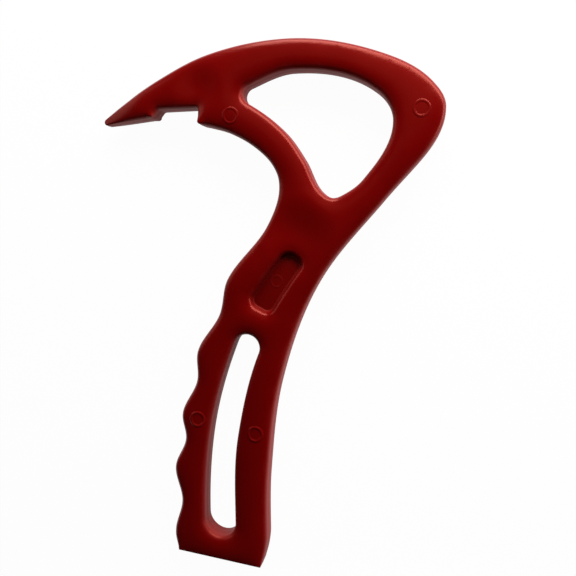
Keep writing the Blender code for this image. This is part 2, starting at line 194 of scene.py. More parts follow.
@dataclass
class Outline:
    """A closed curve through knots, with the material on its left."""

    knots: list[Knot]
    facet: float = 0.000004
    stride: float = 0.0012

    def heading(self, place: int, step: int) -> Vector:
        """Find the direction of travel at a knot.

        Args:
            place: Number of the knot.
            step: 1 for the side of the next knot, -1 for the side of the one before.

        Returns:
            A direction of length one.
        """
        knot = self.knots[place]
        way_in = (knot.point - self.knots[place - 1].point).normalized()
        way_out = (self.knots[(place + 1) % len(self.knots)].point - knot.point).normalized()
        if knot.corner:
            return way_out if step > 0 else way_in
        if knot.heading is not None:
            return knot.heading
        return (way_in + way_out).normalized()

    def span(self, place: int) -> list[tuple[Vector, float, Vector | None]]:
        """Sample the curve from one knot up to the next.

        Args:
            place: Number of the knot that it leaves.

        Returns:
            Point, share of rounding and fixed way in of each sample.
        """
        knot = self.knots[place]
        following = (place + 1) % len(self.knots)
        target = self.knots[following]
        chord = target.point - knot.point
        leave = self.heading(place, 1)
        arrive = self.heading(following, -1)
        # The curve is taken for an arc: it stands chord * turn / 8 off its chord, and its Bezier handles
        # are as long as pull.
        turn = leave.angle(chord) + chord.angle(arrive)
        steps = max(ceil(sqrt(chord.length * turn / (8.0 * self.facet))), ceil(chord.length / self.stride))
        pull = chord.length / (3.0 * cos(turn / 4.0) ** 2)
        curve = interpolate_bezier(
            knot.point.to_3d(),
            (knot.point + leave * pull).to_3d(),
            (target.point - arrive * pull).to_3d(),
            target.point.to_3d(),
            steps + 1,
        )
        between = Vector((0.0, 0.0)) if knot.slide and target.slide else None
        samples = []
        for step in range(steps):
            share = step / steps
            rounding = knot.rounding * (1.0 - share) + target.rounding * share
            samples.append((curve[step].to_2d(), rounding, between if step else knot.slide))
        return samples

    def stations(self) -> list[Station]:
        """Sample the whole curve.

        Returns:
            Its stations, whose way into the material is mitred at corners.
        """
        samples = [sample for place in range(len(self.knots)) for sample in self.span(place)]
        stations = []
        for place, (point, rounding, slide) in enumerate(samples):
            first = left_of((point - samples[place - 1][0]).normalized())
            second = left_of((samples[(place + 1) % len(samples)][0] - point).normalized())
            inward = (first + second) / (1.0 + first.dot(second)) if slide is None else slide
            stations.append(Station(point, inward, rounding))
        return stations


@dataclass
class Handle:
    """The curved handle, measured along its centre line, which leaves the butt straight and then bends."""

    straight: float = 0.0227
    bend_radius: float = 0.1656
    butt_slant: float = 7.0
    butt_front: float = 0.0183
    butt_back: float = 0.0161
    butt_taper: float = 0.0112
    butt_shoulder: float = 0.0045
    butt_rounding: float = 0.35
    shoulder_back: float = 0.0180
    grip_back: float = 0.0188
    grip_top: float = 0.0373
    waist_back: float = 0.0159
    waist_station: float = 0.0790
    neck_back: float = 0.0114
    neck_station: float = 0.1237
    neck_length: float = 0.0413
    first_crest: float = 0.0093
    crests: tuple[float, ...] = (0.0200, 0.0198, 0.0193, 0.0193, 0.0194)
    finger_spans: tuple[float, ...] = (0.0258, 0.0204, 0.0238, 0.0280)
    finger_depth: float = 0.0031
    groove_lag: float = 0.0009
    slot_start: float = 0.0092
    slot_length: float = 0.0833
    slot_butt_width: float = 0.0125
    slot_neck_width: float = 0.0102
    slot_butt_shift: float = -0.0007
    slot_neck_shift: float = -0.0012
    pin_station: float = 0.0552
    pin_offset: float = 0.0120

    @property
    def length(self) -> float:
        """Length of the centre line, from the butt to the root of the head."""
        return self.first_crest + sum(self.finger_spans) + self.neck_length

    def centre_line(self, distance: float) -> tuple[Vector, Vector]:
        """Follow the centre line.

        Args:
            distance: Length along it from the butt.

        Returns:
            The point there, and the heading towards the head.
        """
        turn = max(0.0, distance - self.straight) / self.bend_radius
        bend = Vector((1.0 - cos(turn), sin(turn))) * self.bend_radius
        return Vector((0.0, min(distance, self.straight))) + bend, Vector((sin(turn), cos(turn)))

    def point(self, distance: float, offset: float) -> Vector:
        """Return the point beside the centre line, where a positive offset is towards the back edge."""
        point, heading = self.centre_line(distance)
        return point - left_of(heading) * offset

    def knot(self, distance: float, offset: float, travel: Travel) -> Knot:
        """Return a knot whose curve runs along the centre line."""
        return Knot(self.point(distance, offset), self.centre_line(distance)[1] * travel.value)

    def butt_knots(self) -> tuple[Knot, Knot]:
        """Cut the butt off straight.

        Returns:
            Its front and back corners.
        """
        slope = tan(radians(self.butt_slant))
        front = self.point(self.butt_front * slope, -self.butt_front)
        back = self.point(-self.butt_back * slope, self.butt_back)
        across = (back - front).normalized()
        share = self.butt_rounding
        return (
            Knot(front, corner=True, rounding=share, slide=across),
            Knot(back, corner=True, rounding=share, slide=-across),
        )

    def back_edge(self) -> list[Knot]:
        """Trace the back of the handle.

        Returns:
            Its knots, from the butt up to the neck.
        """
        return [
            Knot(self.point(self.butt_shoulder, self.shoulder_back)),
            self.knot(self.butt_taper, self.grip_back, Travel.TO_HEAD),
            self.knot(self.grip_top, self.grip_back, Travel.TO_HEAD),
            Knot(self.point(self.waist_station, self.waist_back)),
            Knot(self.point(self.neck_station, self.neck_back)),
        ]

    def finger_edge(self) -> list[Knot]:
        """Trace the crests and grooves of the grip.

        Returns:
            Their knots, from the neck down to the butt.
        """
        crest = self.first_crest
        knots = [self.knot(crest, -self.crests[0], Travel.TO_BUTT)]
        for place, span in enumerate(self.finger_spans):
            groove = crest + span / 2.0 + self.groove_lag
            crest_line = (self.crests[place] + self.crests[place + 1]) / 2.0
            crest += span
            knots.append(self.knot(groove, self.finger_depth - crest_line, Travel.TO_BUTT))
            knots.append(self.knot(crest, -self.crests[place + 1], Travel.TO_BUTT))
        return knots[::-1]

    def slot(self) -> Outline:
        """Trace the hand slot along the centre line.

        Returns:
            Its outline, whose lower end slants like the butt.
        """
        low_half = self.slot_butt_width / 2.0
        high_half = self.slot_neck_width / 2.0
        half = (low_half + high_half) / 2.0
        end = self.slot_start + self.slot_length
        low = self.slot_start + low_half
        high = end - high_half
        middle = (low + high) / 2.0
        shift = (self.slot_butt_shift + self.slot_neck_shift) / 2.0
        slant = radians(self.butt_slant)
        lag = low_half * tan(slant)
        return Outline([
            self.knot(low + lag, self.slot_butt_shift - low_half, Travel.TO_HEAD),
            self.knot(middle, shift - half, Travel.TO_HEAD),
            self.knot(high, self.slot_neck_shift - high_half, Travel.TO_HEAD),
            Knot(self.point(end, self.slot_neck_shift), -left_of(self.centre_line(end)[1])),
            self.knot(high, self.slot_neck_shift + high_half, Travel.TO_BUTT),
            self.knot(middle, shift + half, Travel.TO_BUTT),
            self.knot(low - lag, self.slot_butt_shift + low_half, Travel.TO_BUTT),
            Knot(self.point(self.slot_start, self.slot_butt_shift), Vector((-cos(slant), sin(slant)))),
        ])

    def pin_places(self) -> list[Vector]:
        """Return the places of the two pin marks beside the slot."""
        return [self.point(self.pin_station, side * self.pin_offset) for side in (1.0, -1.0)]


@dataclass
class Head:
    """The hooked head on the end of the handle, measured from its root."""

    handle: Handle
    height: float = 0.0648
    heel_reach: float = 0.0400
    beak_reach: float = 0.0930
    beak_height: float = 0.0372
    beak_rise: float = 5.4
    beak_droop: float = 0.00071
    tip_radius: float = 0.0013
    tip_stretch: float = 0.00314
    tip_thickness: float = 0.0048
    tip_taper: float = 0.0170
    notch_setback: float = 0.0225
    notch_depth: float = 0.0029
    notch_width: float = 0.0158
    notch_lean: float = 42.0
    notch_lip: float = 0.0060
    notch_fillet: float = 0.0013
    notch_corner: float = 0.0012
    mouth_corner: float = 0.0018
    crown_limb: float = 0.0114
    brow_limb: float = 0.0132
    heel_limb: float = 0.0186
    back_limb: float = 0.0109
    throat_limb: float = 0.0117
    bend_limb: float = 0.0117
    nose_limb: float = 0.0144
    nose_shift: float = 0.0011
    window_top_shift: float = 0.0031
    window_side_drop: float = 0.0040
    nose_radius: float = 0.0035
    nose_upper_slope: float = 21.0
    nose_lower_slope: float = 31.0
    foot_rise: float = 0.0065
    foot_radius: float = 0.0056
    foot_back: Pair = (0.70, 0.24)
    foot_front: Pair = (-0.84, 0.47)
    heel_pin_inset: float = 0.0085
    heel_pin_drop: float = 0.0006
    nose_pin_gap: float = 0.0043
    nose_pin_drop: float = 0.0078

    @property
    def root(self) -> Vector:
        """Point where the centre line of the handle ends."""
        return self.handle.centre_line(self.handle.length)[0]

    @property
    def tip(self) -> Vector:
        """Sharp corner of the beak, before it is rounded."""
        lead = Vector((self.tip_stretch, self.tip_stretch * tan(radians(self.beak_rise))))
        return self.root + Vector((-self.beak_reach, self.beak_height - self.beak_droop)) - lead

    def crown_point(self, across: float, up: float) -> Vector:
        """Return a point of the outer edge, as shares of the head's reach and height."""
        reach = self.heel_reach if across > 0.0 else self.beak_reach
        return self.root + Vector((across * reach, up * self.height))

    def throat_point(self, across: float, up: float) -> Vector:
        """Return a point of the throat, as shares of the beak's reach and height."""
        return self.root + Vector((across * self.beak_reach, up * self.beak_height))

    def outer_knots(self) -> dict[str, Knot]:
        """Set out the outer edge.

        Returns:
            Its knots by name, from the back over the heel and crown to the beak.
        """
        return {
            "back": Knot(self.crown_point(0.468, 0.085)),
            "heel_low": Knot(self.crown_point(0.803, 0.314), Vector((0.65, 0.76))),
            "heel": Knot(self.crown_point(1.0, 0.579), UP),
            "heel_high": Knot(self.crown_point(0.886, 0.717)),
            "brow": Knot(self.crown_point(0.514, 0.869)),
            "crown": Knot(self.crown_point(-0.198, 1.0), -RIGHT),
            "nape": Knot(self.crown_point(-0.517, 0.940)),
            "beak_back": Knot(self.crown_point(-0.735, 0.810)),
        }

    def throat_knots(self) -> dict[str, Knot]:
        """Set out the throat.

        Returns:
            Its knots by name, from the notch down to the neck.
        """
        return {
            "high": Knot(self.throat_point(-0.440, 0.865), Vector((0.92, -0.39))),
            "bend": Knot(self.throat_point(-0.279, 0.604)),
            "middle": Knot(self.throat_point(-0.231, 0.427)),
            "deep": Knot(self.throat_point(-0.222, 0.295), -UP),
            "low": Knot(self.throat_point(-0.271, -0.084)),
        }

    def notch_edge(self) -> list[Knot]:
        """Trace the beak tip, the lower edge of the beak and the lug notch.

        Returns:
            The knots of their corners.
        """
        beak_back = self.outer_knots()["beak_back"].point
        setback = self.notch_setback + self.tip_stretch
        mouth = self.tip + Vector((setback, setback * tan(radians(self.beak_rise))))
        top = mouth + Vector((self.notch_depth * tan(radians(self.notch_lean)), self.notch_depth))
        far_top = top + RIGHT * self.notch_width
        lip = far_top - UP * self.notch_lip
        throat = self.throat_knots()["high"].point
        return [
            *rounded_corner(beak_back, self.tip, mouth, self.tip_radius),
            *rounded_corner(self.tip, mouth, top, self.mouth_corner),
            *rounded_corner(mouth, top, far_top, self.notch_fillet),
            *rounded_corner(top, far_top, lip, self.notch_fillet),
            *rounded_corner(far_top, lip, throat, self.notch_corner),
        ]

    def inset_from(self, knots: dict[str, Knot], name: str, limb: float) -> Vector:
        """Find the point one limb's width inside a named knot.

        Args:
            knots: Named knots of an edge, in order.
            name: Name of the knot.
            limb: Width of the limb there.

        Returns:
            The point on the window's edge.
        """
        order = list(knots)
        place = order.index(name)
        heading = knots[name].heading
        if heading is None:
            before = knots[order[max(place - 1, 0)]].point
            after = knots[order[min(place + 1, len(order) - 1)]].point
            heading = (after - before).normalized()
        return knots[name].point + left_of(heading) * limb

    def nose(self) -> Vector:
        """Return the narrow end of the window, towards the beak."""
        return self.inset_from(self.throat_knots(), "high", self.nose_limb) + RIGHT * self.nose_shift

    def nose_arc(self) -> list[Knot]:
        """Round the nose, between the slopes of the window's lower and upper edges.

        Returns:
            The knots of its arc.
        """
        centre = self.nose() + RIGHT * self.nose_radius
        low = radians(self.nose_lower_slope)
        high = radians(self.nose_upper_slope)
        lower = Vector((-cos(low), sin(low)))
        upper = Vector((cos(high), sin(high)))
        return [
            Knot(centre + left_of(lower) * self.nose_radius, lower),
            Knot(self.nose(), UP),
            Knot(centre + left_of(upper) * self.nose_radius, upper),
        ]

    def window(self) -> Outline:
        """Trace the D-shaped window, a limb's width inside the head.

        Returns:
            Its outline.
        """
        outer = self.outer_knots()
        throat = self.throat_knots()
        foot = self.root + UP * self.foot_rise
        top = self.inset_from(outer, "crown", self.crown_limb) + RIGHT * self.window_top_shift
        side = self.inset_from(outer, "heel", self.heel_limb) - UP * self.window_side_drop
        return Outline([
            *self.nose_arc(),
            Knot(top, RIGHT),
            Knot(self.inset_from(outer, "brow", self.brow_limb)),
            Knot(side, -UP),
            Knot(self.inset_from(outer, "back", self.back_limb)),
            Knot(foot + Vector(self.foot_back) * self.foot_radius),
            Knot(foot, -RIGHT),
            Knot(foot + Vector(self.foot_front) * self.foot_radius),
            Knot(self.inset_from(throat, "middle", self.throat_limb)),
            Knot(self.inset_from(throat, "bend", self.bend_limb)),
        ])

    def outline(self) -> Outline:
        """Trace the whole plate, handle and head together.

        Returns:
            Its outline.
        """
        front, back = self.handle.butt_knots()
        return Outline([
            back,
            *self.handle.back_edge(),
            *self.outer_knots().values(),
            *self.notch_edge(),
            *self.throat_knots().values(),
            *self.handle.finger_edge(),
            front,
        ])

    def pin_places(self) -> list[Vector]:
        """Return the places of the pin marks at the heel and at the nose of the window."""
        heel = self.outer_knots()["heel"].point - Vector((self.heel_pin_inset, self.heel_pin_drop))
        return [heel, self.nose() - Vector((self.nose_pin_gap, self.nose_pin_drop))]


@dataclass(frozen=True)
class Cushion:
    """The swell of a face, which falls away towards every edge as a skin stretched over a pillow does."""

    drop: float = 0.0010
    reach: float = 0.0030
    spacing: float = 0.0008
    keep_off: float = 0.0005
    rounds: int = 240
    chunk: int = 2000
    level: float = 1e-12

    @property
    def slope(self) -> float:
        """Angle of the face beside an edge."""
        return atan2(self.drop, self.reach)

    def inner_points(self, rim: np.ndarray, chains: np.ndarray) -> np.ndarray:
        """Scatter points over a face, evenly and clear of its edges.

        Args:
            rim: Points of the edges.
            chains: Pairs of numbers of the rim's points, one pair for each edge.

        Returns:
            The points inside the face.
        """
        low = rim.min(axis=0)
        high = rim.max(axis=0)
        lift = self.spacing * TRIANGLE_RISE
        rows = []
        for row in range(ceil((high[1] - low[1]) / lift)):
            across = np.arange(low[0] + self.spacing * (row % 2) / 2.0, high[0], self.spacing)
            rows.append(np.column_stack((across, np.full_like(across, low[1] + row * lift))))
        grid = np.vstack(rows)
        grid = grid[self.inside(grid, rim, chains)]
        kept = []
        for start in range(0, len(grid), self.chunk):
            points = grid[start:start + self.chunk]
            away = ((points[:, None, :] - rim[None, :, :]) ** 2).sum(axis=2).min(axis=1)
            kept.append(points[away > self.keep_off**2])
        return np.vstack(kept)

    def inside(self, points: np.ndarray, rim: np.ndarray, chains: np.ndarray) -> np.ndarray:
        """Tell which points lie inside a face.

        Args:
            points: Points of the plan.
            rim: Points of the face's edges.
            chains: Pairs of numbers of the rim's points, one pair for each edge.

        Returns:
            True for every point with an odd number of edges to its right.
        """
        first = rim[chains[:, 0]]
        run = rim[chains[:, 1]] - first
        run[run[:, 1] == 0.0, 1] = self.level
        inside = []
        for start in range(0, len(points), self.chunk):
            some = points[start:start + self.chunk]
            share = (some[:, 1:] - first[:, 1]) / run[:, 1]
            crossed = (share >= 0.0) & (share < 1.0) & (first[:, 0] + share * run[:, 0] > some[:, :1])
            inside.append(crossed.sum(axis=1) % 2 == 1)
        return np.concatenate(inside)

    def fall(self, points: np.ndarray, triangles: np.ndarray, fixed: np.ndarray) -> np.ndarray:
        """Relax the skin between its edges.

        Args:
            points: Points of the face.
            triangles: Triples of their numbers.
            fixed: Which of them lie on an edge.

        Returns:
            The share of the full drop at each point: one at the edges, fading inwards.
        """
        # Each point goes to the mean of its neighbours, and fades to level over the reach.
        pairs = np.vstack((triangles[:, [0, 1]], triangles[:, [1, 2]], triangles[:, [2, 0]]))
        pairs = np.vstack((pairs, pairs[:, ::-1]))
        count = len(points)
        weight = 1.0 / ((points[pairs[:, 0]] - points[pairs[:, 1]]) ** 2).sum(axis=1)
        total = np.maximum(np.bincount(pairs[:, 0], weight, count), self.level)
        links = np.bincount(pairs[:, 0], minlength=count)
        damping = 1.0 + links / total / (4.0 * self.reach**2)
        share = fixed.astype(float)
        for _ in range(self.rounds):
            mean = np.bincount(pairs[:, 0], weight * share[pairs[:, 1]], count) / total
            share = np.where(fixed, 1.0, mean / damping)
        return share


@dataclass
class PlateEdge:
    """Section of the plate's edge: a drafted wall with a fine parting ridge, and a rounded corner."""

    cushion: Cushion = field(default_factory=Cushion)
    thickness: float = 0.012
    corner_height: float = 0.0022
    corner_reach: float = 0.0024
    draft: float = 1.0
    ridge_proud: float = 0.00003
    ridge_crest: float = 0.00007
    ridge_foot: float = 0.00024
    clearance: float = 0.60
    least_share: float = 0.02
    wall_fade: int = 4
    steps: int = 10

    def fitted(self, station: Station, room: float) -> Station:
        """Fit a station's rounding to the material.

        Args:
            station: Where on the outline it stands.
            room: Radius of the largest circle that the material holds there.

        Returns:
            The station, with no more rounding than there is room for.
        """
        wall = self.thickness / 2.0 * tan(radians(self.draft)) + self.ridge_proud
        share = (room * self.clearance - wall) / self.corner_reach
        return replace(station, rounding=max(min(station.rounding, share), self.least_share))

    def half(self, station: Station) -> list[SectionRow]:
        """Work out one half of the section.

        Args:
            station: Where on the outline it stands.

        Returns:
            The rows from the parting line to the face, with heights above the parting line.
        """
        height = self.corner_height * station.rounding
        reach = self.corner_reach * station.rounding
        swing = atan2(height, reach * tan(self.cushion.slope))
        wall = self.thickness / 2.0 - self.cushion.drop - height * sin(swing)
        lean = self.ridge_proud + wall * tan(radians(self.draft))
        rows = [
            SectionRow(0.0, self.ridge_crest, wall=1.0, matt=1.0),
            SectionRow(self.ridge_proud, self.ridge_foot, wall=1.0, matt=1.0),
        ]
        for step in range(self.steps + 1):
            turn = swing * step / self.steps
            inset = lean + reach * (1.0 - cos(turn))
            # The side share dulls the walls and carries their painted sheen, and fades out into the corner.
            side = cos(turn) ** self.wall_fade
            rows.append(SectionRow(inset, wall + height * sin(turn), sin(2.0 * turn), side, side))
        return rows


@dataclass
class Pocket:
    """The blind pocket in the neck: an oblong hollow with a soft lip and a round floor edge."""

    handle: Handle
    edge: PlateEdge
    setback: float = 0.0330
    shift: float = -0.0023
    lean: float = 0.062
    length: float = 0.0276
    width: float = 0.0122
    taper: float = 0.022
    low_back_corner: float = 0.0043
    high_back_corner: float = 0.0048
    high_front_corner: float = 0.0056
    low_front_corner: float = 0.0054
    depth: float = 0.0040
    draft: float = 12.0
    mouth_radius: float = 0.0023
    floor_radius: float = 0.0006
    margin: float = 0.0001
    matt: float = 0.3
    wall_matt: float = 0.6
    wall_onset: int = 3
    foot_matt: float = 1.0
    pin_shift: float = -0.0001
    steps: int = 9

    @property
    def station(self) -> float:
        """Length along the handle to the middle of the pocket."""
        return self.handle.length - self.setback

    def pin_place(self) -> Vector:
        """Return the place of the pin mark on the pocket's floor."""
        return self.handle.point(self.station, self.shift + self.pin_shift)

    def side(self, distance: float, travel: Travel) -> float:
        """Return the offset of a long side: the back one runs to the head and the front one to the butt."""
        ahead = distance - self.station
        return self.shift + self.lean * ahead + travel.value * (self.width / 2.0 - self.taper * ahead)

    def side_knot(self, distance: float, travel: Travel) -> Knot:
        """Set a knot on one of the long sides, which lean a little and close in towards the head.

        Args:
            distance: Length along the handle.
            travel: Which way the side runs.

        Returns:
            The knot.
        """
        heading = self.handle.centre_line(distance)[1]
        slope = self.lean - travel.value * self.taper
        way = (heading - left_of(heading) * slope).normalized() * travel.value
        return Knot(self.handle.point(distance, self.side(distance, travel)), way)

    def end_knot(self, distance: float, side: Travel, corner: float, travel: Travel) -> Knot:
        """Set a knot on one of the ends, where the curve runs square across.

        Args:
            distance: Length along the handle.
            side: The side that it is near.
            corner: How far in from that side it is.
            travel: Which way the end runs, where TO_HEAD is from the back to the front.

        Returns:
            The knot.
        """
        offset = self.side(distance, side) - side.value * corner
        way = left_of(self.handle.centre_line(distance)[1]) * travel.value
        return Knot(self.handle.point(distance, offset), way)

    def outline(self) -> Outline:
        """Trace the lip of the pocket.

        Returns:
            Its outline, whose long sides follow the handle.
        """
        low = self.station - self.length / 2.0
        high = self.station + self.length / 2.0
        return Outline([
            self.side_knot(low + self.low_back_corner, Travel.TO_HEAD),
            self.side_knot(high - self.high_back_corner, Travel.TO_HEAD),
            self.end_knot(high, Travel.TO_HEAD, self.high_back_corner, Travel.TO_HEAD),
            self.end_knot(high, Travel.TO_BUTT, self.high_front_corner, Travel.TO_HEAD),
            self.side_knot(high - self.high_front_corner, Travel.TO_BUTT),
            self.side_knot(low + self.low_front_corner, Travel.TO_BUTT),
            self.end_knot(low, Travel.TO_BUTT, self.low_front_corner, Travel.TO_BUTT),
            self.end_knot(low, Travel.TO_HEAD, self.low_back_corner, Travel.TO_BUTT),
        ])

    def section(self) -> list[SectionRow]:
        """Work out the section of the hollow.

        Returns:
            Its rows, from the front face over the lip down to the floor.
        """
        slope = self.edge.cushion.slope
        lip = self.edge.thickness - self.edge.cushion.drop
        rows = [SectionRow(0.0, lip)]
        lean = radians(self.draft)
        for step in range(1, self.steps + 1):
            turn = slope + (pi / 2.0 - lean - slope) * step / self.steps
            inset = self.mouth_radius * (sin(turn) - sin(slope))
            height = lip - self.mouth_radius * (cos(slope) - cos(turn))
            matt = self.wall_matt * (step / self.steps) ** self.wall_onset
            rows.append(SectionRow(inset, height, sin(2.0 * turn), matt=matt))
        floor = self.edge.thickness - self.depth
        foot = floor + self.floor_radius * (1.0 - sin(lean))
        start = rows[-1].inset + (rows[-1].height - foot) * tan(lean)
        for step in range(self.steps + 1):
            turn = (pi / 2.0 - lean) * (1.0 - step / self.steps)
            inset = start + self.floor_radius * (cos(lean) - sin(turn))
            height = floor + self.floor_radius * (1.0 - cos(turn))
            rows.append(SectionRow(inset, height, matt=self.foot_matt))
        rows.append(SectionRow(rows[-1].inset + self.margin, floor, matt=self.matt))
        return rows


@dataclass
class PinMark:
    """The mark of an ejector pin: a low raised bead in the shape of a ring."""

    place: Vector
    radius: float = 0.0027
    bead_width: float = 0.0013
    bead_height: float = 0.00013
    burial: float = 0.00004
    matt: float = 0.0
    segments: int = 64
    steps: int = 8

    def section(self) -> list[SectionRow]:
        """Arch the bead over the skin.

        Returns:
            Its rows from the outside to the inside, as radii and heights above the skin.
        """
        rows = []
        for step in range(self.steps + 1):
            share = step / self.steps
            arch = 1.0 - (2.0 * share - 1.0) ** 2
            radius = self.radius + self.bead_width * (0.5 - share)
            height = (self.bead_height + self.burial) * arch - self.burial
            rows.append(SectionRow(radius, height, arch, matt=self.matt))
        return rows


@dataclass(frozen=True)
class Sink:
    """A shallow dish in the front face, where the thick plastic shrank as it cooled."""

    place: Pair
    radius: float
    depth: float

    def fall(self, spot: Vector) -> float:
        """Return how far the front face lies lower at a point of the plan, in the frame's axes."""
        share = max(1.0 - (spot - Vector(self.place)).length / self.radius, 0.0)
        return self.depth * share**2 * (3.0 - 2.0 * share)


class Blend(Enum):
    """What a Mix node blends."""

    NUMBER = "FLOAT"
    COLOUR = "RGBA"


class Arithmetic(Enum):
    """What a Math node makes of two values."""

    GREATER = "MAXIMUM"
    PRODUCT = "MULTIPLY"


@dataclass(frozen=True)
class Mottle:
    """A blotchy pattern: noise, and the span of its values that is stretched over another span."""

    scale: float
    detail: float
    source: Pair = (0.0, 1.0)
    target: Pair = (0.0, 1.0)


@dataclass(frozen=True)
class NodeBench:
    """A node tree, and the ways in which it is wired up."""

    tree: NodeTree

    def wire(self, node: Node, sockets: Sockets) -> None:
        """Fill a node's inputs.

        Args:
            node: The node.
            sockets: What goes into each input: the output of another node, or a plain value.
        """
        for name, value in sockets.items():
            if isinstance(value, NodeSocket):
                self.tree.links.new(value, node.inputs[name])
            else:
                node.inputs[name].default_value = value

    def add(self, kind: str, sockets: Sockets, **settings: str | bool) -> Node:
        """Add a node.

        Args:
            kind: Its type, without the words that every shader node's type starts with.
            sockets: What goes into its inputs.
            settings: Its other properties.

        Returns:
            The node.
        """
        node = self.tree.nodes.new("ShaderNode" + kind)
        for name, value in settings.items():
            setattr(node, name, value)
        self.wire(node, sockets)
        return node

    def attribute(self, name: str) -> NodeSocket:
        """Return one of the mesh's attributes."""
        return self.add("Attribute", {}, attribute_name=name).outputs["Fac"]

    def combine(self, how: Arithmetic, first: NodeSocket, second: NodeSocket | float) -> NodeSocket:
        """Return what a Math node makes of two values."""
        return self.add("Math", {0: first, 1: second}, operation=how.value).outputs["Value"]

    def noise(self, place: NodeSocket, pattern: Mottle) -> NodeSocket:
        """Return a pattern's noise, as it is."""
        sockets = {"Vector": place, "Scale": pattern.scale, "Detail": pattern.detail}
        return self.add("TexNoise", sockets).outputs["Fac"]

    def mottle(self, place: NodeSocket, pattern: Mottle) -> NodeSocket:
        """Stretch a pattern's noise.

        Args:
            place: Coordinates that the pattern lies on.
            pattern: The pattern.

        Returns:
            Its value.
        """
        sockets = {"Value": self.noise(place, pattern)}
        sockets["From Min"], sockets["From Max"] = pattern.source
        sockets["To Min"], sockets["To Max"] = pattern.target
        return self.add("MapRange", sockets).outputs["Result"]

    def layered(
        self, blend: Blend, base: Filling, layers: Iterable[tuple[NodeSocket, Filling]]
    ) -> NodeSocket:
        """Lay values or colours over each other.

        Args:
            blend: Which of the two they are.
            base: The lowest layer.
            layers: Share and filling of each further layer.

        Returns:
            The blend of them all.
        """
        for share, filling in layers:
            mixed = self.add("Mix", {"A": base, "B": filling, "Factor": share}, data_type=blend.value)
            base = mixed.outputs["Result"]
        return base


